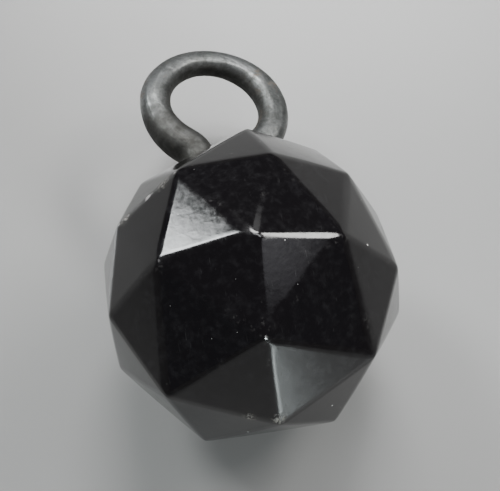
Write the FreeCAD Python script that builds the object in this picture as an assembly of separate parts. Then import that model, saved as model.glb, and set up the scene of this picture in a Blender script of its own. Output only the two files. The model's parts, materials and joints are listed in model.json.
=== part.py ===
import FreeCAD, Part
import math
import os

# Faceted black glass ball button with a heavy iron wire eye at the back.
#
# The glass is a ball cut with 60 three-cornered facets. Its 32 corners lie in
# rings round the button's axis: one at the front, rings of 5, 10, 10 and 5, and
# one at the back, where the shank comes out. The shank is one wire bent to a
# round eye. Its two legs pass through an anchor plate into a socket in the
# glass, where their ends are spread and held by a plug of setting cement.
#
# Every shape is first made on the button's own axis, with the front corner
# towards -Y and the eye towards +Y. At the end the button is tipped onto one
# facet, as it lies on a table, with +Z up and the origin under its middle.

# ---- driving dimensions, in millimetres and degrees -----------------------------------

BALL_RADIUS = 6.35          # a 20 ligne button, 12.7 mm across its widest ring of corners

WIRE_RADIUS = 0.70
EYE_RADIUS = 2.60           # of the wire's centre line
EYE_HEIGHT = 9.15           # from the ball's centre to the eye's centre
EYE_SHIFT = 0.47            # the eye was bent a little to one side of the axis
EYE_TWIST = 14.4            # turn of the eye's flat about the button's axis
NECK_RADIUS = {-1: 1.20, 1: 1.00}   # bend from eye to leg, on each side
LEG_GAP = 0.08              # between the two legs in the neck

LEG_END_HEIGHT = 3.40       # where the legs start to spread inside the glass
SPREAD_RADIUS = 1.10
SPREAD_ANGLE = 42.0
TAIL_LENGTH = 0.55

PLATE_RADIUS = 1.86
PLATE_THICKNESS = 0.45
PLATE_CHAMFER = 0.10
PLATE_HOLE_CLEARANCE = 0.03

RECESS_RADIUS = 1.90        # counterbore that the plate lies in
RECESS_HEIGHT = 5.05        # its floor, from the ball's centre
MOUTH_RADIUS = 1.60         # drilled mouth of the socket
CHAMBER_HEIGHT = 3.60       # top of the undercut chamber
CHAMBER_RADIUS = 2.30
CHAMBER_FLOOR = 1.70

# Rings of corners: distance from the front along the ball, as a polar angle,
# distance from the centre over BALL_RADIUS, number of corners, and the turn of
# the first corner. Turns run clockwise, seen from in front of the button.
RINGS = {
    "front": (0.0, 1.025, 1, 0.0),
    "a": (40.0, 1.050, 5, 0.0),
    "b": (74.0, 1.000, 10, 0.0),
    "c": (110.0, 0.965, 10, 18.0),
    "d": (141.5, 0.950, 5, 18.0),
    "back": (180.0, 1.000, 1, 0.0),
}

# The facets were ground by hand, so some corners stand off their ring:
# change of polar angle, of turn, and of distance from the centre.
HAND_CUT = {
    ("a", 0): (0.0, -2.5, 0.0),
    ("a", 3): (3.0, 2.5, -0.01),
    ("b", 0): (0.0, 1.5, 0.0),
    ("b", 3): (1.0, -2.0, 0.02),
    ("b", 7): (0.5, 0.0, -0.03),
    ("b", 8): (1.5, 2.5, -0.02),
    ("b", 9): (3.0, 2.0, 0.0),
    ("c", 0): (0.0, -1.0, 0.0),
    ("c", 2): (-2.5, -4.0, 0.01),
    ("c", 7): (4.0, -4.0, -0.015),
    ("c", 8): (-3.5, -1.5, -0.03),
    ("c", 9): (1.0, -2.0, 0.02),
    ("d", 0): (-0.5, -1.0, 0.04),
    ("d", 1): (-4.0, -24.0, 0.055),
    ("d", 4): (-2.0, -7.0, -0.01),
}

X_AXIS = FreeCAD.Vector(1, 0, 0)
Y_AXIS = FreeCAD.Vector(0, 1, 0)
Z_AXIS = FreeCAD.Vector(0, 0, 1)
CENTRE = FreeCAD.Vector(0, 0, 0)


# ---- the glass ball -------------------------------------------------------------------

def corner(polar, turn, distance):
    """A point of the ball on the button's own axis, its front towards -Y."""
    polar = math.radians(polar)
    turn = math.radians(turn)
    across = math.sin(polar)
    direction = FreeCAD.Vector(across * math.sin(turn), -math.cos(polar), across * math.cos(turn))
    return direction * (BALL_RADIUS * distance)


def ring_corners(name):
    """The corners of one ring, in order of turn."""
    polar, distance, count, first_turn = RINGS[name]
    corners = []
    for index in range(count):
        more_polar, more_turn, more_distance = HAND_CUT.get((name, index), (0.0, 0.0, 0.0))
        turn = first_turn + index * 360.0 / count + more_turn
        corners.append(corner(polar + more_polar, turn, distance + more_distance))
    return corners


def cap_facets(pole, ring):
    """Five facets that meet at the front or back corner."""
    count = len(ring)
    return [(pole, ring[i], ring[(i + 1) % count]) for i in range(count)]


def five_to_ten_facets(five, ten):
    """Fifteen facets between a ring of 5 and the ring of 10 beside it, corner i facing 2 i."""
    facets = []
    for i in range(5):
        before, facing, after = ten[2 * i - 1], ten[2 * i], ten[2 * i + 1]
        facets.append((five[i], before, facing))
        facets.append((five[i], facing, after))
        facets.append((five[i], after, five[(i + 1) % 5]))
    return facets


def ten_to_ten_facets(ten, other):
    """Twenty facets between the two rings of 10, which are half a step apart."""
    facets = []
    for i in range(10):
        following = (i + 1) % 10
        facets.append((ten[i], ten[following], other[i]))
        facets.append((ten[following], other[i], other[following]))
    return facets


def solid_from_facets(facets):
    """A closed solid of flat three-cornered faces."""
    faces = []
    for facet in facets:
        faces.append(Part.Face(Part.makePolygon([facet[0], facet[1], facet[2], facet[0]])))
    shell = Part.makeShell(faces)
    shell.sewShape()
    solid = Part.makeSolid(shell)
    if solid.Volume < 0:
        solid.reverse()
    return solid


def upright_cylinder(radius, low, high):
    """A cylinder on the button's axis between two heights above the ball's centre."""
    return Part.makeCylinder(radius, high - low, Y_AXIS * low, Y_AXIS)


def make_socket():
    """The hollow that the legs go into: a drilled mouth over an undercut chamber."""
    mouth = upright_cylinder(MOUTH_RADIUS, CHAMBER_FLOOR, RECESS_HEIGHT)
    chamber = upright_cylinder(CHAMBER_RADIUS, CHAMBER_FLOOR, CHAMBER_HEIGHT)
    return mouth.fuse(chamber).removeSplitter()


def make_glass_ball(corners, socket):
    facets = cap_facets(corners["front"][0], corners["a"])
    facets += five_to_ten_facets(corners["a"], corners["b"])
    facets += ten_to_ten_facets(corners["b"], corners["c"])
    facets += five_to_ten_facets(corners["d"], corners["c"])
    facets += cap_facets(corners["back"][0], corners["d"])
    ball = solid_from_facets(facets)
    recess = upright_cylinder(RECESS_RADIUS, RECESS_HEIGHT, 2.0 * BALL_RADIUS)
    return ball.cut(recess).cut(socket)


# ---- the wire shank -------------------------------------------------------------------
# The wire is drawn in the X-Y plane: runs of round bar and round bends, each tangent
# to the next, then turned about the button's axis by EYE_TWIST.

def straight_run(start, end):
    """Round bar between two points."""
    run = end - start
    return Part.makeCylinder(WIRE_RADIUS, run.Length, start, run)


def round_bend(centre, start, angle):
    """Wire bent about a centre in the X-Y plane, from its start through a signed angle."""
    outward = start - centre
    tangent = Z_AXIS.cross(outward)
    section = Part.Face(Part.Wire(Part.makeCircle(WIRE_RADIUS, start, tangent)))
    return section.revolve(centre, Z_AXIS * math.copysign(1.0, angle), abs(angle))


def turned(point, centre, angle):
    """A point of the X-Y plane turned about a centre."""
    return centre + FreeCAD.Rotation(Z_AXIS, angle).multVec(point - centre)


def turn_of(point, centre):
    """Direction of a point from a centre, as an angle from +X."""
    away = point - centre
    return math.degrees(math.atan2(away.y, away.x))


def neck_centre(side):
    """Centre of the bend that is tangent to a leg and to the eye from outside."""
    radius = NECK_RADIUS[side]
    across = side * (WIRE_RADIUS + LEG_GAP / 2.0 + radius)
    rise = math.sqrt((EYE_RADIUS + radius) ** 2 - (across - EYE_SHIFT) ** 2)
    return FreeCAD.Vector(across, EYE_HEIGHT - rise, 0)


def make_leg(side, eye_centre):
    """Neck bend, leg, spreading bend and tail on one side. Returns them and the eye's end."""
    radius = NECK_RADIUS[side]
    centre = neck_centre(side)
    eye_end = eye_centre + (centre - eye_centre) * (EYE_RADIUS / (EYE_RADIUS + radius))
    leg_top = centre - X_AXIS * (side * radius)
    neck_angle = turn_of(leg_top, centre) - turn_of(eye_end, centre)
    neck_angle = (neck_angle + 180.0) % 360.0 - 180.0
    leg_bottom = FreeCAD.Vector(leg_top.x, LEG_END_HEIGHT, 0)
    spread_centre = leg_bottom + X_AXIS * (side * SPREAD_RADIUS)
    spread_angle = side * SPREAD_ANGLE
    tail_start = turned(leg_bottom, spread_centre, spread_angle)
    tail_direction = FreeCAD.Rotation(Z_AXIS, spread_angle).multVec(-Y_AXIS)
    pieces = [
        round_bend(centre, eye_end, neck_angle),
        straight_run(leg_top, leg_bottom),
        round_bend(spread_centre, leg_bottom, spread_angle),
        straight_run(tail_start, tail_start + tail_direction * TAIL_LENGTH),
    ]
    return pieces, eye_end


def make_wire_shank():
    eye_centre = FreeCAD.Vector(EYE_SHIFT, EYE_HEIGHT, 0)
    left_pieces, left_end = make_leg(-1, eye_centre)
    right_pieces, right_end = make_leg(1, eye_centre)
    sweep = (turn_of(left_end, eye_centre) - turn_of(right_end, eye_centre)) % 360.0
    wire = round_bend(eye_centre, right_end, sweep)
    wire = wire.multiFuse(left_pieces + right_pieces).removeSplitter()
    wire.rotate(CENTRE, Y_AXIS, EYE_TWIST)
    return wire


# ---- the anchor plate and the setting -------------------------------------------------

def leg_slot(clearance, low, high):
    """A round-ended slot round both legs, between two heights."""
    radius = WIRE_RADIUS + clearance
    offset = WIRE_RADIUS + LEG_GAP / 2.0
    slot = Part.makeBox(2.0 * offset, high - low, 2.0 * radius, FreeCAD.Vector(-offset, low, -radius))
    ends = []
    for side in (-1, 1):
        foot = FreeCAD.Vector(side * offset, low, 0)
        ends.append(Part.makeCylinder(radius, high - low, foot, Y_AXIS))
    slot = slot.multiFuse(ends).removeSplitter()
    slot.rotate(CENTRE, Y_AXIS, EYE_TWIST)
    return slot


def make_anchor_plate():
    top = RECESS_HEIGHT + PLATE_THICKNESS
    plate = upright_cylinder(PLATE_RADIUS, RECESS_HEIGHT, top)
    rim = [edge for edge in plate.Edges if abs(edge.CenterOfMass.y - top) < 0.01]
    plate = plate.makeChamfer(PLATE_CHAMFER, rim)
    return plate.cut(leg_slot(PLATE_HOLE_CLEARANCE, RECESS_HEIGHT - 1.0, top + 1.0))


def make_setting_cement(socket, wire):
    """The cement that fills the socket round the spread legs."""
    return socket.cut(wire)


# ---- the button at rest ---------------------------------------------------------------

def tip_angle(corners):
    """How far the button tips about X so that its resting facet lies flat, front end up."""
    front_corner = corners["b"][5]
    back_corner = corners["c"][4]
    slope = (back_corner.z - front_corner.z) / (back_corner.y - front_corner.y)
    return -math.degrees(math.atan(slope))


def main():
    os.makedirs("parts", exist_ok=True)
    corners = {name: ring_corners(name) for name in RINGS}
    socket = make_socket()
    wire = make_wire_shank()
    nodes = {
        "glass_ball": make_glass_ball(corners, socket),
        "wire_shank": wire,
        "anchor_plate": make_anchor_plate(),
        "setting_cement": make_setting_cement(socket, wire),
    }
    for shape in nodes.values():
        shape.rotate(CENTRE, X_AXIS, tip_angle(corners))
    box = Part.makeCompound(list(nodes.values())).optimalBoundingBox(False, False)
    middle = FreeCAD.Vector(box.Center.x, box.Center.y, box.ZMin)
    for name, shape in nodes.items():
        shape.translate(-middle)
        shape.exportStep("parts/" + name + ".step")
        print(name, "solids", len(shape.Solids), "valid", shape.isValid(), "volume", round(shape.Volume, 2))
    print("ball centre at", (-middle).x, (-middle).y, (-middle).z, "tipped by", tip_angle(corners))
    print("size", box.XLength, box.YLength, box.ZLength)


main()
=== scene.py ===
import json
import math

import bmesh
import bpy
import numpy as np
from mathutils import Matrix, Vector, noise


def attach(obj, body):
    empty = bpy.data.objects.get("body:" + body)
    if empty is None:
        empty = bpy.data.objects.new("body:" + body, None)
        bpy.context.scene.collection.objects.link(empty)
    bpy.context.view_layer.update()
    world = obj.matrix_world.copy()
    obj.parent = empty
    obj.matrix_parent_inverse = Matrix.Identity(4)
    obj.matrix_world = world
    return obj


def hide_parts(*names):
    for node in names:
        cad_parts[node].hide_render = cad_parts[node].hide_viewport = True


# The faceted black glass ball button, lying on a pale table.
# Shapes are worked out in millimetres and scaled to metres as each mesh is made.

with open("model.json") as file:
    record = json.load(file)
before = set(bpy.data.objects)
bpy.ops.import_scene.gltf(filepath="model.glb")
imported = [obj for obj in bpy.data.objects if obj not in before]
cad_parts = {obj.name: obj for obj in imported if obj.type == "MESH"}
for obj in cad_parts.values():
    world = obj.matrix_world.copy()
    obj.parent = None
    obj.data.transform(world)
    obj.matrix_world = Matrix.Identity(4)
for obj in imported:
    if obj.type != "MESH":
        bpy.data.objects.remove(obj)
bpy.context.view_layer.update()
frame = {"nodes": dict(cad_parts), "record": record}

MM = 0.001

# ---- the button's own axes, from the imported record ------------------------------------

BALL_RADIUS = 6.35
SHANK_DIP = math.radians(9.268)     # the shank's axis slopes down towards the eye
EYE_HEIGHT = 9.15                   # from the ball's centre to the eye's centre
EYE_SHIFT = 0.47                    # of the eye, off the axis

eye_mount = next(m for m in frame["record"]["mounts"] if m["name"] == "thread_eye")
EYE = Vector(eye_mount["pos_m"]) / MM
SQUARE = Vector(eye_mount["axis"]).normalized()                    # square to the eye's flat
ALONG = Vector((0.0, math.cos(SHANK_DIP), -math.sin(SHANK_DIP)))   # from the ball to the eye
ACROSS = ALONG.cross(SQUARE).normalized()
SIDEWAYS = Vector((1.0, 0.0, 0.0))                                 # level, square to ALONG
DOWNWARDS = ALONG.cross(SIDEWAYS)
CENTRE = EYE - ALONG * EYE_HEIGHT - ACROSS * EYE_SHIFT             # of the ball

# ---- the wire's dimensions ------------------------------------------------------------

WIRE_RADIUS = 0.70
EYE_RADIUS = 2.60
NECK_RADIUS = {-1: 1.20, 1: 1.00}
LEG_GAP = 0.08
LEG_END_HEIGHT = 3.40
SPREAD_RADIUS = 1.10
SPREAD_ANGLE = math.radians(42.0)
TAIL_LENGTH = 0.55

# ---- the recess at the back -----------------------------------------------------------

RECESS_RADIUS = 1.90
RECESS_HEIGHT = 5.05
MOUTH_RADIUS = 1.60
CHAMBER_RADIUS = 2.30
CHAMBER_HEIGHT = 3.60
CHAMBER_FLOOR = 1.70
PLATE_RADIUS = 1.86
PLATE_TOP = 5.50

# Radius and height of the cutter that makes the recess and the undercut socket below it.
SOCKET_PROFILE = (
    (CHAMBER_RADIUS, CHAMBER_FLOOR),
    (CHAMBER_RADIUS, CHAMBER_HEIGHT),
    (MOUTH_RADIUS, CHAMBER_HEIGHT),
    (MOUTH_RADIUS, RECESS_HEIGHT),
    (RECESS_RADIUS, RECESS_HEIGHT),
    (RECESS_RADIUS, 2.0 * BALL_RADIUS),
)


def in_metres(points, faces, name):
    """A mesh object from points in millimetres."""
    mesh = bpy.data.meshes.new(name)
    mesh.from_pydata([Vector(p) * MM for p in points], [], faces)
    mesh.validate()
    mesh.update()
    piece = bpy.data.objects.new(name, mesh)
    bpy.context.scene.collection.objects.link(piece)
    return piece


def store(piece, name, values):
    """Keeps one number per vertex for a material to read."""
    layer = piece.data.attributes.new(name, "FLOAT", "POINT")
    layer.data.foreach_set("value", np.asarray(values, np.float32))


def smooth_step(low, high, x):
    t = np.clip((x - low) / (high - low), 0.0, 1.0)
    return t * t * (3.0 - 2.0 * t)


def ripple(points, size, seed):
    """Smooth noise from -1 to 1 at each point, with features of about the given size."""
    away = Vector((17.3 * seed, 5.1 * seed, 9.7 * seed))
    return np.array([noise.noise(Vector(p) / size + away) for p in points])


# ---- glass ball -----------------------------------------------------------------------

EDGE_ROUNDING = 0.075       # of the ground edges, fire polished
EDGE_BAND = 0.27            # strip beside each edge that gets its own rows of mesh
BAND_ROWS = 5
FACET_ROWS = 22
GRINDING_SLIP = 0.028       # most that a facet was ground below one of its corners
FACET_CROWN = 110.0         # radius of the slight crown that polishing left on each facet
POLISH_WAVE = 0.005
CORNER_REACH = 5.6          # corners lie further out than anything in the socket
WELD = 0.0005               # points closer than this are one point
SHARP_ANGLE = math.radians(38.0)

GRINDING_SEED = 11
RESTING_FACET = -0.99       # a facet that points down more than this is the one it lies on
SAME_DIRECTION = 0.995      # cosine above which two directions name the same facet

UNEVEN_ROUNDING = 0.22      # how much the edges' rounding varies
UNEVEN_SIZE = 1.6           # over what length
POLISH_SIZE = 2.3           # length of the polishing waves
WEAR_WIDTH = 0.09           # how far beside an edge its wear reaches
SEARCH_RANGE = (0.85, 1.01)     # where the surface is looked for, over the flat facet's distance
SEARCH_STEPS = 34

# Corners and facets are picked out by their directions from the ball's centre.
FRONT_CORNER = Vector((0.03, -0.12, 0.99))
LOW_CORNER = Vector((-0.03, -0.69, 0.80))
FOOT_CORNER = Vector((0.00, -1.00, 0.17))
FOOT_LEFT_CORNER = Vector((-0.64, -0.76, 0.34))
SHOULDER_CORNER = Vector((-0.31, 0.49, 0.80))
SIDE_CORNER = Vector((-0.74, 0.34, 0.46))

# Facets ground clearly too deep at one corner: facet direction, corner direction, depth.
DEEP_CUTS = (
    (Vector((-0.18, -0.30, 0.87)), FRONT_CORNER, 0.085),
    (Vector((-0.22, -0.82, 0.44)), LOW_CORNER, 0.055),
)


def ball_corners():
    """The ball's corners, read off the CAD glass, and the back one that its recess took away."""
    corners = []
    for vertex in frame["nodes"]["glass_ball"].data.vertices:
        point = vertex.co / MM
        away = point - CENTRE
        known = any((point - c).length < 0.01 for c in corners)
        if away.length > CORNER_REACH and away.dot(ALONG) < RECESS_HEIGHT - 0.1 and not known:
            corners.append(point)
    corners.append(CENTRE + ALONG * BALL_RADIUS)
    return corners


def hull_facets(corners):
    """Corner numbers of the facets round the ball, each turned outwards."""
    bm = bmesh.new()
    for corner in corners:
        bm.verts.new(corner)
    bm.verts.ensure_lookup_table()
    bm.verts.index_update()
    bmesh.ops.convex_hull(bm, input=bm.verts)
    facets = []
    for face in bm.faces:
        a, b, c = face.verts
        outward = (b.co - a.co).cross(c.co - a.co).dot(a.co - CENTRE) > 0.0
        facets.append((a.index, b.index, c.index) if outward else (a.index, c.index, b.index))
    bm.free()
    return facets


def patch(corner_a, corner_b, corner_c, corner_d, columns, rows):
    """Quads that fill a four-sided patch, its corners in order round it."""
    quads = []
    grid = []
    for j in range(rows + 1):
        left = corner_a.lerp(corner_d, j / rows)
        right = corner_b.lerp(corner_c, j / rows)
        grid.append([left.lerp(right, i / columns) for i in range(columns + 1)])
    for j in range(rows):
        for i in range(columns):
            quads.append((grid[j][i], grid[j][i + 1], grid[j + 1][i + 1], grid[j + 1][i]))
    return quads


def middle_of_facet(a, b, c, rows):
    """Triangles that fill the middle of a facet."""
    triangles = []

    def at(i, j):
        return a + (b - a) * (i / rows) + (c - a) * (j / rows)

    for i in range(rows):
        for j in range(rows - i):
            triangles.append((at(i, j), at(i + 1, j), at(i, j + 1)))
            if i + j < rows - 1:
                triangles.append((at(i + 1, j), at(i + 1, j + 1), at(i, j + 1)))
    return triangles


def inset_corner(a, b, c, depth):
    """The point inside corner a that is a given depth from both edges that meet there."""
    to_b = (b - a).normalized()
    to_c = (c - a).normalized()
    return a + (to_b + to_c) * (depth / to_b.cross(to_c).length)


def facet_mesh(a, b, c):
    """Faces of one facet: close rows along its edges, wider ones in the middle."""
    faces = []
    corners = [a, b, c]
    inner = []
    for i in range(3):
        inner.append(inset_corner(corners[i], corners[(i + 1) % 3], corners[i - 1], EDGE_BAND))
    for i in range(3):
        here, after, before = corners[i], corners[(i + 1) % 3], corners[i - 1]
        on_next = here + (after - here).normalized() * EDGE_BAND
        on_last = here + (before - here).normalized() * EDGE_BAND
        far_end = after + (here - after).normalized() * EDGE_BAND
        faces += patch(here, on_next, inner[i], on_last, BAND_ROWS, BAND_ROWS)
        faces += patch(on_next, far_end, inner[(i + 1) % 3], inner[i], FACET_ROWS, BAND_ROWS)
    faces += middle_of_facet(inner[0], inner[1], inner[2], FACET_ROWS)
    return faces


def welded(faces):
    """Points and faces with shared corners, from faces that each hold their own points."""
    bm = bmesh.new()
    for face in faces:
        bm.faces.new([bm.verts.new(point) for point in face])
    bmesh.ops.remove_doubles(bm, verts=bm.verts, dist=WELD)
    bm.verts.index_update()
    points = [v.co.copy() for v in bm.verts]
    joined = [[v.index for v in face.verts] for face in bm.faces]
    bm.free()
    return points, joined


def nearest_corner(corners, direction):
    return min(corners, key=lambda p: (p - CENTRE - direction * BALL_RADIUS).length)


def facet_planes(corners, facets):
    """Outward normals and depths of the facets. Each was ground a little below its corners."""
    rng = np.random.default_rng(GRINDING_SEED)
    normals = []
    depths = []
    for facet in facets:
        points = [corners[i] for i in facet]
        facing = (sum(points, Vector()) / 3.0 - CENTRE).normalized()
        slips = rng.uniform(0.0, GRINDING_SLIP, 3)
        if facing.z < RESTING_FACET:
            slips[:] = 0.0
        for toward, direction, depth in DEEP_CUTS:
            if facing.dot(toward.normalized()) > SAME_DIRECTION:
                corner = nearest_corner(corners, direction)
                slips = [depth if p == corner else slip for p, slip in zip(points, slips)]
        a, b, c = (p - (p - CENTRE).normalized() * slip for p, slip in zip(points, slips))
        normal = (b - a).cross(c - a).normalized()
        normals.append(normal)
        depths.append(normal.dot(a - CENTRE))
    return np.array(normals), np.array(depths)


# Corners worn rounder than the edges: corner direction, extra rounding, reach.
WORN_CORNERS = (
    (FRONT_CORNER, 0.4, 0.50),
    (LOW_CORNER, 0.5, 0.90),
)

CHIPS = 9                   # small shell-shaped chips along one worn edge
CHIP_SEED = 5
CHIP_JITTER = (0.2, 0.8)    # place of each chip in its share of the edge
CHIP_RADIUS = (0.10, 0.30)
CHIP_DEPTH = (0.10, 0.22)   # over its radius
CHIP_RIM = 0.035            # how far from a chip its broken look reaches

# Spots where the glass is scuffed: first corner, second corner, place between, radius.
SCUFFS = (
    (FOOT_CORNER, LOW_CORNER, 0.06, 0.42),
    (FOOT_CORNER, FOOT_LEFT_CORNER, 0.27, 0.38),
    (SHOULDER_CORNER, SIDE_CORNER, 0.25, 0.50),
    (SHOULDER_CORNER, SIDE_CORNER, 0.85, 0.45),
)


def chip_hollows(corners):
    """Centres and radii of the balls that the chips are bitten out with."""
    rng = np.random.default_rng(CHIP_SEED)
    first = nearest_corner(corners, SHOULDER_CORNER)
    last = nearest_corner(corners, SIDE_CORNER)
    hollows = []
    for k in range(CHIPS):
        place = first.lerp(last, (k + rng.uniform(*CHIP_JITTER)) / CHIPS)
        outward = (place - CENTRE).normalized()
        radius = rng.uniform(*CHIP_RADIUS)
        depth = radius * rng.uniform(*CHIP_DEPTH)
        hollows.append((place + outward * (radius - depth), radius))
    return hollows


def scuffed(corners, placed):
    """How scuffed each point of the surface is, from 0 to 1."""
    amount = np.zeros(len(placed))
    for first, second, part, radius in SCUFFS:
        place = nearest_corner(corners, first).lerp(nearest_corner(corners, second), part)
        away = np.linalg.norm(placed - np.array(place), axis=1)
        amount = np.maximum(amount, 1.0 - smooth_step(0.0, radius, away))
    return amount


def worn_rounding(corners, points):
    """Rounding of the edges at each point: uneven, and more at the worn corners."""
    factor = 1.0 + UNEVEN_ROUNDING * ripple(points, UNEVEN_SIZE, 2)
    for direction, extra, reach in WORN_CORNERS:
        corner = np.array(nearest_corner(corners, direction))
        away = np.linalg.norm(np.array(points) - corner, axis=1)
        factor += extra * np.exp(-(away / reach) ** 2)
    return EDGE_ROUNDING * factor


def ground_surface(points, normals, depths, rounding, hollows):
    """Moves points along their rays from the centre onto the ground and polished surface.
    Also returns how much of an edge each point is on, and how much of a chip."""
    centre = np.array(CENTRE)
    rays = np.array(points) - centre
    reach = np.linalg.norm(rays, axis=1)
    rays /= reach[:, None]
    wave = POLISH_WAVE * (1.0 + ripple(points, POLISH_SIZE, 1)) / 2.0
    facing = rays @ normals.T
    aside = np.sqrt(np.maximum(0.0, 1.0 - facing ** 2))

    def outside(t):
        crown = (aside * t[:, None]) ** 2 / (2.0 * FACET_CROWN)
        over = facing * t[:, None] - depths + wave[:, None] + crown
        soft = np.maximum(over + rounding[:, None], 0.0)
        value = np.sqrt((soft ** 2).sum(1)) - rounding
        for place, radius in hollows:
            away = np.linalg.norm(rays * t[:, None] + centre - np.array(place), axis=1)
            value = np.maximum(value, radius - away)
        return value, over

    low, high = reach * SEARCH_RANGE[0], reach * SEARCH_RANGE[1]
    for _ in range(SEARCH_STEPS):
        middle = (low + high) / 2.0
        out = outside(middle)[0] > 0.0
        high = np.where(out, middle, high)
        low = np.where(out, low, middle)
    over = outside(low)[1]
    nearest_two = np.sort(over, axis=1)[:, -2:]
    edge = 1.0 - smooth_step(0.0, WEAR_WIDTH, nearest_two[:, 1] - nearest_two[:, 0])
    placed = centre + rays * low[:, None]
    chipped = np.zeros(len(points))
    for place, radius in hollows:
        away = np.linalg.norm(placed - np.array(place), axis=1)
        chipped = np.maximum(chipped, 1.0 - smooth_step(0.0, CHIP_RIM, np.abs(away - radius)))
    return placed, edge, chipped


def lathe(profile, sides=96):
    """A closed round cutter on the button's axis, from (radius, height above the centre) pairs."""
    rings = []
    for radius, height in profile:
        for k in range(sides):
            turn = 2.0 * math.pi * k / sides
            away = SIDEWAYS * math.cos(turn) + DOWNWARDS * math.sin(turn)
            rings.append(CENTRE + ALONG * height + away * radius)
    top = (len(profile) - 1) * sides
    faces = [list(range(sides))[::-1], list(range(top, top + sides))]
    for low in range(0, top, sides):
        for k in range(sides):
            after = (k + 1) % sides
            faces.append([low + k, low + after, low + sides + after, low + sides + k])
    return rings, faces


def applied(piece, modifier):
    """Applies a modifier and keeps its mesh."""
    bpy.context.view_layer.update()
    graph = bpy.context.evaluated_depsgraph_get()
    evaluated = piece.evaluated_get(graph)
    mesh = bpy.data.meshes.new_from_object(evaluated, preserve_all_data_layers=True, depsgraph=graph)
    piece.modifiers.remove(modifier)
    piece.data = mesh


def make_glass_ball():
    corners = ball_corners()
    facets = hull_facets(corners)
    faces = []
    for facet in facets:
        faces += facet_mesh(*(corners[i] for i in facet))
    points, faces = welded(faces)
    normals, depths = facet_planes(corners, facets)
    rounding = worn_rounding(corners, points)
    placed, edge, chipped = ground_surface(points, normals, depths, rounding, chip_hollows(corners))
    ball = in_metres(placed, faces, "glass_ball_ground")
    store(ball, "edge_wear", edge)
    store(ball, "chipped", chipped)
    store(ball, "scuffed", scuffed(corners, placed))
    cutter = in_metres(*lathe(SOCKET_PROFILE), "socket_cutter")
    cut = ball.modifiers.new("socket", "BOOLEAN")
    cut.object = cutter
    cut.operation = "DIFFERENCE"
    cut.solver = "EXACT"
    applied(ball, cut)
    bpy.data.objects.remove(cutter)
    ball.data.polygons.foreach_set("use_smooth", [True] * len(ball.data.polygons))
    ball.data.set_sharp_from_angle(angle=SHARP_ANGLE)
    return ball


# ---- wire shank -----------------------------------------------------------------------

WIRE_STEP = 0.10            # between rings of the wire's mesh
WIRE_SIDES = 44
WIRE_FLAT = 0.95            # the eye was pressed flat: half its thickness over WIRE_RADIUS
WIRE_LUMP = 0.020
SEAM_DEPTH = 0.030          # draw mark along the outside of the eye's left half
SEAM_TURN = math.radians(118.0)
SEAM_WIDTH = math.radians(8.0)
SEAM_STARTS = (-1.5, 1.0)   # lengths between which it fades in, and out
SEAM_ENDS = (6.0, 8.0)
SEAM_WANDER = 0.10
HAMMERED_TURN = math.radians(101.0)
HAMMERED_FLAT = 0.90
HAMMERED_STARTS = (2.2, 3.6)    # the same for the hammered flat, towards the right leg
HAMMERED_ENDS = (8.0, 9.5)
FLAT_RETREAT = 0.12         # how much further out the flat lies where the wire isn't hammered
TIP_RINGS = 3.0             # rings over which each tail is rounded off
FOOT_SHADE_AND_SOIL = (3.1, 5.2)      # lengths between which the left leg is darkened: painted shade, with some dirt

# Forged thickness of the wire over WIRE_RADIUS, by the length along it. All lengths along the wire
# are in millimetres from the eye's far end, towards the left leg.
THICKNESS = (
    (-9.0, 1.00),
    (-4.1, 0.95),
    (0.0, 0.81),
    (4.1, 0.97),
    (6.4, 1.12),
    (7.6, 1.10),
    (9.0, 1.00),
)


def plane_point(across, along):
    return np.array([across, along])


def bend(centre, start, angle):
    """Points along an arc in the eye's plane, without its start."""
    away = start - centre
    steps = max(3, round(abs(angle) * np.linalg.norm(away) / WIRE_STEP))
    points = []
    for k in range(1, steps + 1):
        turn = angle * k / steps
        c, s = math.cos(turn), math.sin(turn)
        points.append(centre + np.array([c * away[0] - s * away[1], s * away[0] + c * away[1]]))
    return points


def run(start, end):
    """Points along a straight run, without its start."""
    steps = max(2, round(np.linalg.norm(end - start) / WIRE_STEP))
    return [start + (end - start) * (k / steps) for k in range(1, steps + 1)]


def turn_of(point, centre):
    return math.atan2(point[1] - centre[1], point[0] - centre[0])


def leg_points(side, eye):
    """The wire from the eye's end to its tail inside the glass, on one side, and the eye's end."""
    radius = NECK_RADIUS[side]
    across = side * (WIRE_RADIUS + LEG_GAP / 2.0 + radius)
    rise = math.sqrt((EYE_RADIUS + radius) ** 2 - (across - EYE_SHIFT) ** 2)
    centre = plane_point(across, EYE_HEIGHT - rise)
    eye_end = eye + (centre - eye) * (EYE_RADIUS / (EYE_RADIUS + radius))
    leg_top = centre - plane_point(side * radius, 0.0)
    angle = turn_of(leg_top, centre) - turn_of(eye_end, centre)
    angle = (angle + math.pi) % (2.0 * math.pi) - math.pi
    leg_bottom = plane_point(leg_top[0], LEG_END_HEIGHT)
    points = bend(centre, eye_end, angle)
    points += run(leg_top, leg_bottom)
    points += bend(leg_bottom + plane_point(side * SPREAD_RADIUS, 0.0), leg_bottom, side * SPREAD_ANGLE)
    outward = plane_point(side * math.sin(SPREAD_ANGLE), -math.cos(SPREAD_ANGLE))
    points += run(points[-1], points[-1] + outward * TAIL_LENGTH)
    return points, eye_end


def wire_centre_line():
    """Points along the whole wire in the eye's plane, from one tail to the other."""
    eye = plane_point(EYE_SHIFT, EYE_HEIGHT)
    left, left_end = leg_points(-1, eye)
    right, right_end = leg_points(1, eye)
    sweep = (turn_of(left_end, eye) - turn_of(right_end, eye)) % (2.0 * math.pi)
    over = [right_end] + bend(eye, right_end, sweep)
    return right[::-1] + over + left


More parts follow.
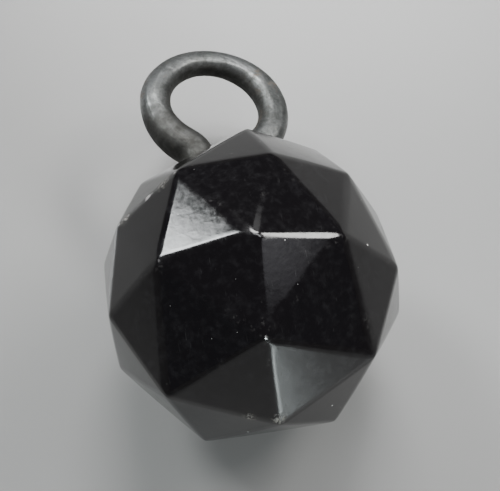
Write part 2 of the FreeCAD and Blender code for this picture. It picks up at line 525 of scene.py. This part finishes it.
def forged_thickness(length):
    """The wire's thickness factor at a length from the eye's far end, smoothly between its marks."""
    for (start, thick), (end, next_thick) in zip(THICKNESS, THICKNESS[1:]):
        if start <= length <= end:
            part = (length - start) / (end - start)
            return thick + (next_thick - thick) * part * part * (3.0 - 2.0 * part)
    return 1.0


def soft_least(a, b, sharpness=26.0):
    """The smaller of two numbers, with the corner between them rounded."""
    return -math.log(math.exp(-sharpness * a) + math.exp(-sharpness * b)) / sharpness


def flat_reach(turn, flat_turn, flat):
    """How far out a flat lies in a direction round the wire, over the radius."""
    facing = math.cos(turn - flat_turn)
    return flat / facing if facing > 0.2 else 5.0


def skin_radius(spot, turn, length):
    """Radius of the wire's skin: round bar, pressed, hammered, creased and worn."""
    radius = soft_least(1.0, flat_reach(turn, math.pi / 2.0, WIRE_FLAT))
    radius = soft_least(radius, flat_reach(turn, -math.pi / 2.0, WIRE_FLAT))
    hammered = smooth_step(*HAMMERED_STARTS, -length) * (1.0 - smooth_step(*HAMMERED_ENDS, -length))
    flat = HAMMERED_FLAT + (1.0 - float(hammered)) * FLAT_RETREAT
    radius = soft_least(radius, flat_reach(turn, HAMMERED_TURN, flat))
    lump = noise.noise(spot / 1.3) + 0.5 * noise.noise(spot / 0.5 + Vector((9.0, 3.0, 1.0)))
    radius -= WIRE_LUMP * (0.8 + lump)
    seam_turn = SEAM_TURN + SEAM_WANDER * math.sin(length * 1.1)
    beside = (turn - seam_turn) / SEAM_WIDTH
    seam = math.exp(-beside * beside) * float(smooth_step(*SEAM_STARTS, length))
    seam *= 1.0 - float(smooth_step(*SEAM_ENDS, length))
    radius -= SEAM_DEPTH * seam
    return radius * forged_thickness(length)


def make_wire():
    line = wire_centre_line()
    lengths = [0.0]
    for before, after in zip(line, line[1:]):
        lengths.append(lengths[-1] + np.linalg.norm(after - before))
    far_end = max(range(len(line)), key=lambda k: line[k][1])
    points = []
    alongs = []
    arounds = []
    shade_and_soil_amounts = []
    for k, place in enumerate(line):
        before, after = line[max(k - 1, 0)], line[min(k + 1, len(line) - 1)]
        forward = (after - before) / np.linalg.norm(after - before)
        inward = ACROSS * -forward[1] + ALONG * forward[0]
        middle = CENTRE + ACROSS * place[0] + ALONG * place[1]
        tip = min(k, len(line) - 1 - k)
        cap = math.sqrt(1.0 - (1.0 - min(1.0, (tip + 0.35) / TIP_RINGS)) ** 2)
        length = lengths[k] - lengths[far_end]
        for j in range(WIRE_SIDES):
            turn = 2.0 * math.pi * j / WIRE_SIDES
            out = inward * math.cos(turn) + SQUARE * math.sin(turn)
            radius = WIRE_RADIUS * skin_radius(middle + out * WIRE_RADIUS, turn, length)
            points.append(middle + out * (radius * cap))
            alongs.append(lengths[k])
            arounds.append(j / WIRE_SIDES)
            # Painted shade, with some dirt: darkest on the side of the wire that faces into the eye, and
            # all round the left leg near the glass, a little less on the leg's upper side.
            foot = float(smooth_step(*FOOT_SHADE_AND_SOIL, length)) * (1.06 - 0.18 * math.sin(turn + 0.3))
            shade_and_soil_amounts.append(max(0.5 + 0.5 * math.cos(turn + 0.2), foot))
    faces = []
    for k in range(len(line) - 1):
        for j in range(WIRE_SIDES):
            after = (j + 1) % WIRE_SIDES
            low, high = k * WIRE_SIDES, (k + 1) * WIRE_SIDES
            faces.append([low + j, low + after, high + after, high + j])
    last = (len(line) - 1) * WIRE_SIDES
    faces.append(list(range(WIRE_SIDES))[::-1])
    faces.append([last + j for j in range(WIRE_SIDES)])
    wire = in_metres(points, faces, "wire_shank_worn")
    store(wire, "along", alongs)
    store(wire, "around", arounds)
    store(wire, "shade_and_soil", shade_and_soil_amounts)
    wire.data.polygons.foreach_set("use_smooth", [True] * len(wire.data.polygons))
    return wire


# ---- cement beads at the back ---------------------------------------------------------

BEAD_RINGS = 120
BEAD_SIDES = 14
BEAD_FLATNESS = 0.62        # height over width
BEAD_SWELL = 0.28           # how much the thickness varies
BEAD_GRAIN = 0.02
RIM_BEAD = 0.11             # thickness of the bead round the plate
FOOT_BEAD = 0.10            # and round the legs
RIM_BEAD_DROP = 0.09        # of its middle, below the plate's face


def make_bead(name, path, thickness, seed):
    """A closed bead of cement along a ring of (point, outward) pairs, uneven in thickness."""
    points = []
    for place, outward in path:
        swell = 1.0 + BEAD_SWELL * noise.noise(place / 0.9 + Vector((seed, 0.0, 0.0)))
        for j in range(BEAD_SIDES):
            turn = 2.0 * math.pi * j / BEAD_SIDES
            out = outward * math.cos(turn) + ALONG * (BEAD_FLATNESS * math.sin(turn))
            spot = place + out * (thickness * swell)
            points.append(spot + out * (BEAD_GRAIN * noise.noise(spot / 0.16)))
    faces = []
    count = len(path)
    for k in range(count):
        for j in range(BEAD_SIDES):
            low, high = k * BEAD_SIDES, ((k + 1) % count) * BEAD_SIDES
            after = (j + 1) % BEAD_SIDES
            faces.append([low + j, high + j, high + after, low + after])
    bead = in_metres(points, faces, name)
    bead.data.polygons.foreach_set("use_smooth", [True] * len(bead.data.polygons))
    return bead


def plate_rim_path():
    """Round the plate's edge, where the cement squeezed up out of the recess."""
    path = []
    for k in range(BEAD_RINGS):
        turn = 2.0 * math.pi * k / BEAD_RINGS
        outward = SIDEWAYS * math.cos(turn) + DOWNWARDS * math.sin(turn)
        rim = CENTRE + ALONG * (PLATE_TOP - RIM_BEAD_DROP) + outward * (PLATE_RADIUS + 0.01)
        path.append((rim, outward))
    return path


def leg_foot_path():
    """Round both legs, where they come out of the plate's slot."""
    offset = WIRE_RADIUS + LEG_GAP / 2.0
    path = []
    for k in range(BEAD_RINGS):
        turn = 2.0 * math.pi * k / BEAD_RINGS
        outward = ACROSS * math.cos(turn) - SQUARE * math.sin(turn)
        shift = offset * max(-1.0, min(1.0, 3.0 * math.cos(turn)))
        foot = CENTRE + ALONG * (PLATE_TOP + 0.01) + ACROSS * shift
        path.append((foot + outward * (WIRE_RADIUS + 0.03), outward))
    return path


# ---- materials ------------------------------------------------------------------------

class Finish:
    """A node material under construction, with textures placed in millimetres."""

    def __init__(self, name):
        self.material = bpy.data.materials.new(name)
        self.material.use_nodes = True
        self.tree = self.material.node_tree
        self.shader = self.tree.nodes["Principled BSDF"]
        coordinates = self.add("ShaderNodeTexCoord")
        self.place = self.add("ShaderNodeVectorMath", operation="SCALE")
        self.tree.links.new(coordinates.outputs["Object"], self.place.inputs[0])
        self.place.inputs["Scale"].default_value = 1.0 / MM
        self.place = self.place.outputs[0]

    def add(self, kind, **settings):
        made = self.tree.nodes.new(kind)
        for key, value in settings.items():
            setattr(made, key, value)
        return made

    def feed(self, socket, value):
        """Links an output, or sets a constant."""
        if isinstance(value, bpy.types.NodeSocket):
            self.tree.links.new(value, socket)
        else:
            socket.default_value = value

    def noise(self, scale, detail=4.0, roughness=0.55, distortion=0.0, place=None):
        made = self.add("ShaderNodeTexNoise")
        self.feed(made.inputs["Vector"], place or self.place)
        self.feed(made.inputs["Scale"], scale)
        self.feed(made.inputs["Detail"], detail)
        self.feed(made.inputs["Roughness"], roughness)
        self.feed(made.inputs["Distortion"], distortion)
        return made.outputs["Fac"]

    def stretched(self, scale):
        """The texture place, squeezed by a different amount each way."""
        made = self.add("ShaderNodeVectorMath", operation="MULTIPLY")
        self.feed(made.inputs[0], self.place)
        made.inputs[1].default_value = scale
        return made.outputs[0]

    def math(self, operation, a, b=0.0):
        made = self.add("ShaderNodeMath", operation=operation)
        self.feed(made.inputs[0], a)
        self.feed(made.inputs[1], b)
        return made.outputs[0]

    def band(self, value, low, high, out_low=0.0, out_high=1.0):
        """Maps a value between two limits, smoothly and clamped."""
        made = self.add("ShaderNodeMapRange", interpolation_type="SMOOTHSTEP")
        self.feed(made.inputs["Value"], value)
        made.inputs["From Min"].default_value = low
        made.inputs["From Max"].default_value = high
        made.inputs["To Min"].default_value = out_low
        made.inputs["To Max"].default_value = out_high
        return made.outputs["Result"]

    def mix(self, factor, a, b):
        made = self.add("ShaderNodeMix", data_type="RGBA")
        self.feed(made.inputs[0], factor)
        self.feed(made.inputs[6], a)
        self.feed(made.inputs[7], b)
        return made.outputs[2]

    def coats(self, base, *layers):
        """Lays colours over a base. Each layer is a mask, its strength and a colour."""
        for mask, strength, colour in layers:
            base = self.mix(self.math("MULTIPLY", mask, strength), base, colour)
        return base

    def weighted(self, *terms):
        """The sum of masks, each times its weight."""
        total = None
        for mask, weight in terms:
            part = self.math("MULTIPLY", mask, weight)
            total = part if total is None else self.math("ADD", total, part)
        return total

    def attribute(self, name):
        made = self.add("ShaderNodeAttribute", attribute_name=name)
        return made.outputs["Fac"]

    def bump(self, height, depth_mm, strength=1.0, under=None):
        made = self.add("ShaderNodeBump")
        self.feed(made.inputs["Height"], height)
        made.inputs["Distance"].default_value = depth_mm * MM
        made.inputs["Strength"].default_value = strength
        if under is not None:
            self.tree.links.new(under, made.inputs["Normal"])
        return made.outputs["Normal"]

    def specks(self, cells_per_mm, size, share):
        """Small round dots: one in some of the cells, of a size given over the cell's."""
        made = self.add("ShaderNodeTexVoronoi")
        self.feed(made.inputs["Vector"], self.place)
        self.feed(made.inputs["Scale"], cells_per_mm)
        near = self.band(made.outputs["Distance"], size * 0.5, size, 1.0, 0.0)
        split = self.add("ShaderNodeSeparateColor")
        self.feed(split.inputs[0], made.outputs["Color"])
        chosen = self.band(split.outputs[0], 1.0 - share, 1.0 - share + 0.02)
        return self.math("MULTIPLY", near, chosen)

    def set(self, **values):
        for key, value in values.items():
            self.feed(self.shader.inputs[key.replace("_", " ")], value)


POLISHED_ROUGHNESS = 0.085      # of clean glass
GLASS_IOR = 1.52


def black_glass():
    f = Finish("black_glass")
    smear = f.band(f.noise(0.55, 5.0, 0.6, 0.6), 0.44, 0.68)
    grease = f.band(f.noise(2.6, 4.0, 0.60, 0.3), 0.42, 0.68)
    mottle = f.band(f.noise(3.8, 3.0, 0.55, 0.4), 0.34, 0.70)
    hairs = f.band(f.noise(1.0, 2.0, 0.5, 0.4, f.stretched((26.0, 1.2, 3.0))), 0.71, 0.76)
    dots = f.specks(0.85, 0.045, 0.40)
    dust = f.specks(3.2, 0.05, 0.10)
    edge = f.attribute("edge_wear")
    chips = f.attribute("chipped")
    scuffs = f.attribute("scuffed")
    rubbed = f.band(f.noise(0.9, 3.0), 0.52, 0.66)
    rubbed = f.math("MULTIPLY", rubbed, f.math("MULTIPLY", edge, f.band(f.noise(6.0, 3.0), 0.52, 0.68)))
    scraped = f.math("MULTIPLY", scuffs, f.band(f.noise(9.0, 5.0, 0.7), 0.47, 0.60))
    bright = f.math("MAXIMUM", dots, f.math("MULTIPLY", dust, 0.6))
    haze = f.math("MULTIPLY", f.math("ADD", smear, grease), 0.5)
    haze = f.math("MULTIPLY", haze, f.math("MULTIPLY", mottle, 0.012))
    body = f.mix(haze, (0.0030, 0.0022, 0.0026, 1.0), (0.62, 0.62, 0.66, 1.0))
    body = f.coats(
        body,
        (hairs, 0.02, (0.60, 0.60, 0.60, 1.0)),
        (rubbed, 0.04, (0.50, 0.48, 0.46, 1.0)),
        (scraped, 0.34, (0.56, 0.53, 0.47, 1.0)),
        (chips, 0.42, (0.66, 0.62, 0.62, 1.0)),
    )
    body = f.mix(bright, body, (0.72, 0.71, 0.68, 1.0))
    rough = f.weighted(
        (smear, 0.03),
        (grease, 0.05),
        (mottle, 0.03),
        (hairs, 0.10),
        (rubbed, 0.12),
        (scraped, 0.35),
        (chips, 0.25),
        (bright, 0.6),
    )
    rough = f.math("ADD", rough, POLISHED_ROUGHNESS)
    flat = f.math("SUBTRACT", 1.0, f.math("MULTIPLY", edge, 0.9))
    ripples = f.math("MULTIPLY", f.noise(1.4, 2.0, 0.5, 0.5), flat)
    strokes = f.math("MULTIPLY", f.noise(4.5, 2.0, 0.5, 0.2), flat)
    normal = f.bump(ripples, 0.0035)
    normal = f.bump(strokes, 0.0003, 1.0, normal)
    normal = f.bump(f.math("MULTIPLY", mottle, flat), 0.0005, 1.0, normal)
    normal = f.bump(scraped, 0.008, 1.0, normal)
    f.set(Base_Color=body, Roughness=rough, IOR=GLASS_IOR, Normal=normal)
    return f.material


def iron_wire():
    f = Finish("iron_wire")
    skin = f.add("ShaderNodeCombineXYZ")
    f.feed(skin.inputs[0], f.math("MULTIPLY", f.attribute("along"), 0.9))
    f.feed(skin.inputs[1], f.math("MULTIPLY", f.attribute("around"), 20.0))
    streaks = f.band(f.noise(1.0, 3.0, 0.55, 0.3, skin.outputs[0]), 0.40, 0.66)
    patches = f.band(f.noise(0.85, 5.0, 0.6, 0.5), 0.38, 0.64)
    mottle = f.band(f.noise(3.4, 4.0, 0.60, 0.5), 0.40, 0.64)
    rust = f.band(f.noise(1.1, 6.0, 0.7, 0.9), 0.58, 0.68)
    pits = f.band(f.noise(7.0, 4.0, 0.6), 0.61, 0.72)
    # Painted shade with some dirt: the metal turns dark brown on the eye's inner side and on the left leg
    # near the glass.
    shade_and_soil = f.math("ADD", f.attribute("shade_and_soil"), f.math("MULTIPLY", f.noise(2.2, 4.0), 0.40))
    shade_and_grime = f.band(shade_and_soil, 0.60, 1.20)
    metal = f.mix(patches, (0.092, 0.096, 0.093, 1.0), (0.175, 0.181, 0.180, 1.0))
    metal = f.coats(
        metal,
        (mottle, 0.38, (0.31, 0.32, 0.315, 1.0)),
        (streaks, 0.12, (0.34, 0.34, 0.33, 1.0)),
        (rust, 0.65, (0.115, 0.076, 0.046, 1.0)),
        (pits, 0.45, (0.040, 0.036, 0.033, 1.0)),
        # painted shade and dirt, darkening the metal
        (shade_and_grime, 0.84, (0.036, 0.034, 0.030, 1.0)),
    )
    rough = f.math("SUBTRACT", 0.43, f.math("MULTIPLY", mottle, 0.10))
    rough = f.math("ADD", rough, f.math("MULTIPLY", rust, 0.15))
    rough = f.math("ADD", rough, f.math("MULTIPLY", shade_and_grime, 0.20))
    shine = f.math("SUBTRACT", 0.90, f.math("MULTIPLY", rust, 0.60))
    normal = f.bump(f.noise(1.7, 3.0, 0.55, 0.3), 0.020)
    normal = f.bump(f.noise(8.0, 4.0, 0.60), 0.008, 1.0, normal)
    normal = f.bump(streaks, 0.003, 1.0, normal)
    f.set(Base_Color=metal, Roughness=rough, Metallic=shine, Normal=normal)
    return f.material


def iron_plate():
    f = Finish("iron_plate")
    rust = f.band(f.noise(1.6, 6.0, 0.68, 0.8), 0.40, 0.62)
    pits = f.band(f.noise(6.0, 4.0, 0.6), 0.55, 0.70)
    metal = f.mix(rust, (0.12, 0.115, 0.11, 1.0), (0.060, 0.036, 0.024, 1.0))
    metal = f.coats(metal, (pits, 0.6, (0.028, 0.022, 0.019, 1.0)))
    rough = f.math("ADD", 0.48, f.math("MULTIPLY", rust, 0.30))
    shine = f.math("SUBTRACT", 0.85, f.math("MULTIPLY", rust, 0.65))
    normal = f.bump(f.noise(3.0, 5.0, 0.65, 0.5), 0.03)
    normal = f.bump(pits, -0.015, 1.0, normal)
    f.set(Base_Color=metal, Roughness=rough, Metallic=shine, Normal=normal)
    return f.material


def cement():
    f = Finish("setting_cement")
    grain = f.noise(5.0, 5.0, 0.65, 0.4)
    body = f.mix(f.band(grain, 0.35, 0.65), (0.030, 0.022, 0.017, 1.0), (0.085, 0.062, 0.045, 1.0))
    rough = f.band(f.noise(2.0, 3.0), 0.3, 0.7, 0.42, 0.72)
    f.set(Base_Color=body, Roughness=rough, Normal=f.bump(grain, 0.02))
    return f.material


def pale_table():
    f = Finish("pale_table")
    cloud = f.noise(0.02, 4.0)
    body = f.mix(f.band(cloud, 0.3, 0.7), (0.245, 0.242, 0.237, 1.0), (0.262, 0.259, 0.254, 1.0))
    f.set(Base_Color=body, Roughness=0.28, Normal=f.bump(f.noise(3.0, 5.0), 0.003, 0.4))
    return f.material


def dress(piece, material):
    piece.data.materials.clear()
    piece.data.materials.append(material)


# ---- pieces on the frame --------------------------------------------------------------

BODY = "root"


def place_piece(piece, material, slot, *nodes):
    """Gives a piece its finish and its body, and hides the CAD nodes that it stands for."""
    dress(piece, material)
    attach(piece, BODY)
    if nodes:
        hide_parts(*nodes)


glass = black_glass()
wire_iron = iron_wire()
plate_iron = iron_plate()
brown_cement = cement()

place_piece(make_glass_ball(), glass, "black_glass", "glass_ball")
place_piece(make_wire(), wire_iron, "iron_wire", "wire_shank")
place_piece(make_bead("cement_rim_bead", plate_rim_path(), RIM_BEAD, 3.0), brown_cement, "setting_cement")
place_piece(make_bead("cement_foot_bead", leg_foot_path(), FOOT_BEAD, 8.0), brown_cement, "setting_cement")

for node, material in (("anchor_plate", plate_iron), ("setting_cement", brown_cement)):
    for slot in frame["nodes"][node].material_slots:
        slot.material = material


# ---- table, light and camera ----------------------------------------------------------

TABLE_HALF = 620.0
TABLE_CELLS = 62
RIM_START = 450.0           # from here the table sweeps up behind, all round
RIM_CURVE = 205.0
RIM_HEIGHT = 130.0


def make_table():
    points = []
    for j in range(TABLE_CELLS + 1):
        for i in range(TABLE_CELLS + 1):
            x = TABLE_HALF * (2.0 * i / TABLE_CELLS - 1.0)
            y = TABLE_HALF * (2.0 * j / TABLE_CELLS - 1.0)
            rise = max(0.0, math.hypot(x, y) - RIM_START) ** 2 / RIM_CURVE
            points.append((x, y, min(rise, RIM_HEIGHT)))
    faces = []
    for j in range(TABLE_CELLS):
        for i in range(TABLE_CELLS):
            low = j * (TABLE_CELLS + 1) + i
            faces.append([low, low + 1, low + TABLE_CELLS + 2, low + TABLE_CELLS + 1])
    table = in_metres(points, faces, "table")
    table.data.polygons.foreach_set("use_smooth", [True] * len(faces))
    dress(table, pale_table())


def direction(azimuth, elevation):
    """Unit vector from the object: azimuth is from +Y towards +X, in degrees."""
    a, e = math.radians(azimuth), math.radians(elevation)
    return Vector((math.sin(a) * math.cos(e), math.cos(a) * math.cos(e), math.sin(e)))


LAMP_DISTANCE = 400.0       # of every softbox from the ball's centre
NEUTRAL = (1.0, 1.0, 1.0)


def softbox(name, azimuth, elevation, width, height, radiance, colour=NEUTRAL):
    """A soft rectangular light that faces the ball. Its width and height are in degrees."""
    lamp = bpy.data.lights.new(name, "AREA")
    lamp.shape = "RECTANGLE"
    lamp.size = 2.0 * LAMP_DISTANCE * math.tan(math.radians(width / 2.0)) * MM
    lamp.size_y = 2.0 * LAMP_DISTANCE * math.tan(math.radians(height / 2.0)) * MM
    lamp.energy = radiance * math.pi * lamp.size * lamp.size_y
    lamp.color = colour
    holder = bpy.data.objects.new(name, lamp)
    towards = direction(azimuth, elevation)
    holder.location = (CENTRE + towards * LAMP_DISTANCE) * MM
    holder.rotation_mode = "QUATERNION"
    holder.rotation_quaternion = towards.to_track_quat("Z", "Y")
    bpy.context.scene.collection.objects.link(holder)


WINDOW_LEFT = -48.0         # azimuth of its left side
WINDOW_RIGHT = -27.0        # azimuth of the first pane's right side
WINDOW_MIDDLE = 43.5        # elevation
WINDOW_HEIGHT = 17.0
WINDOW_PANES = 8            # laid over each other, so that the right side fades in
PANE_STEP = 0.75            # in degrees, between the panes' right sides
PANE_RADIANCE = 4.6
PANE_COLOUR = (0.95, 0.99, 1.0)


def make_window():
    for k in range(WINDOW_PANES):
        right = WINDOW_RIGHT - PANE_STEP * k
        width = (right - WINDOW_LEFT) * math.cos(math.radians(WINDOW_MIDDLE))
        middle = (right + WINDOW_LEFT) / 2.0
        name = "window_" + str(k)
        softbox(name, middle, WINDOW_MIDDLE, width, WINDOW_HEIGHT, PANE_RADIANCE, PANE_COLOUR)


PANEL_LEFT = 94.0           # azimuth of the side panel's left side
PANEL_RIGHT = 117.5         # azimuth of the first layer's right side
PANEL_FOOT = 46.5           # elevation of the first layer's lower side
PANEL_TOP = 60.0
PANEL_LAYERS = 4            # each starts higher and ends sooner, so that the corner fades
PANEL_RIGHT_STEP = 2.5
PANEL_FOOT_STEP = 2.0
PANEL_RADIANCE = 0.50
PANEL_COLOUR = (0.93, 0.93, 1.0)


def make_side_panel():
    for k in range(PANEL_LAYERS):
        right = PANEL_RIGHT - PANEL_RIGHT_STEP * k
        foot = PANEL_FOOT + PANEL_FOOT_STEP * k
        middle = (PANEL_LEFT + right) / 2.0
        level = (foot + PANEL_TOP) / 2.0
        width = (right - PANEL_LEFT) * math.cos(math.radians(level))
        name = "side_panel_" + str(k)
        softbox(name, middle, level, width, PANEL_TOP - foot, PANEL_RADIANCE, PANEL_COLOUR)


# The single softboxes: name, azimuth, elevation, width and height in degrees, radiance, colour.
STRIP = ("strip", 75.0, 46.5, 28.0, 11.0, 24.0, (1.0, 0.99, 0.97))
OTHER_BOXES = (
    ("back", 14.0, 51.0, 24.0, 12.0, 24.0, NEUTRAL),
    ("back_low", 23.0, 37.5, 9.0, 6.0, 1.3, NEUTRAL),
    ("overhead", 36.0, 66.0, 36.0, 8.0, 8.0, (0.97, 0.99, 1.0)),
    ("left_panel", -86.0, 31.0, 24.0, 16.0, 3.0, NEUTRAL),
    ("front_low", 163.5, 17.0, 10.0, 11.0, 72.0, (0.90, 1.0, 1.0)),
    ("right_panel", 152.0, 34.0, 16.0, 12.0, 8.0, NEUTRAL),
)

VIEW_AZIMUTH = 11.32        # of the line of sight, from +Y towards +X
VIEW_ELEVATION = 65.59
VIEW_ROLL = 0.41
VIEW_DISTANCE = 63.45       # in millimetres, from the aim
VIEW_LENS = 114.1
SENSOR_WIDTH = 36.0
AIM = CENTRE + Vector((0.44, 1.335, 0.635))     # the point in the middle of the picture


def make_camera():
    lens = bpy.data.cameras.new("camera")
    lens.lens = VIEW_LENS
    lens.sensor_width = SENSOR_WIDTH
    lens.clip_start = 0.001
    lens.clip_end = 10.0
    camera = bpy.data.objects.new("camera", lens)
    back = -direction(VIEW_AZIMUTH, -VIEW_ELEVATION)
    camera.location = (AIM + back * VIEW_DISTANCE) * MM
    level = back.to_track_quat("Z", "Y").to_matrix()
    roll = Matrix.Rotation(math.radians(-VIEW_ROLL), 3, back)
    camera.rotation_mode = "QUATERNION"
    camera.rotation_quaternion = (roll @ level).to_quaternion()
    bpy.context.scene.collection.objects.link(camera)
    bpy.context.scene.camera = camera


SKY_COLOUR = (0.80, 0.88, 1.0, 1.0)
SKY_STRENGTH = 0.12


def make_surroundings():
    world = bpy.data.worlds.new("studio")
    world.use_nodes = True
    sky = world.node_tree.nodes["Background"]
    sky.inputs["Color"].default_value = SKY_COLOUR
    sky.inputs["Strength"].default_value = SKY_STRENGTH
    bpy.context.scene.world = world


make_table()
make_surroundings()
make_window()
softbox(*STRIP)
make_side_panel()
for box in OTHER_BOXES:
    softbox(*box)
make_camera()
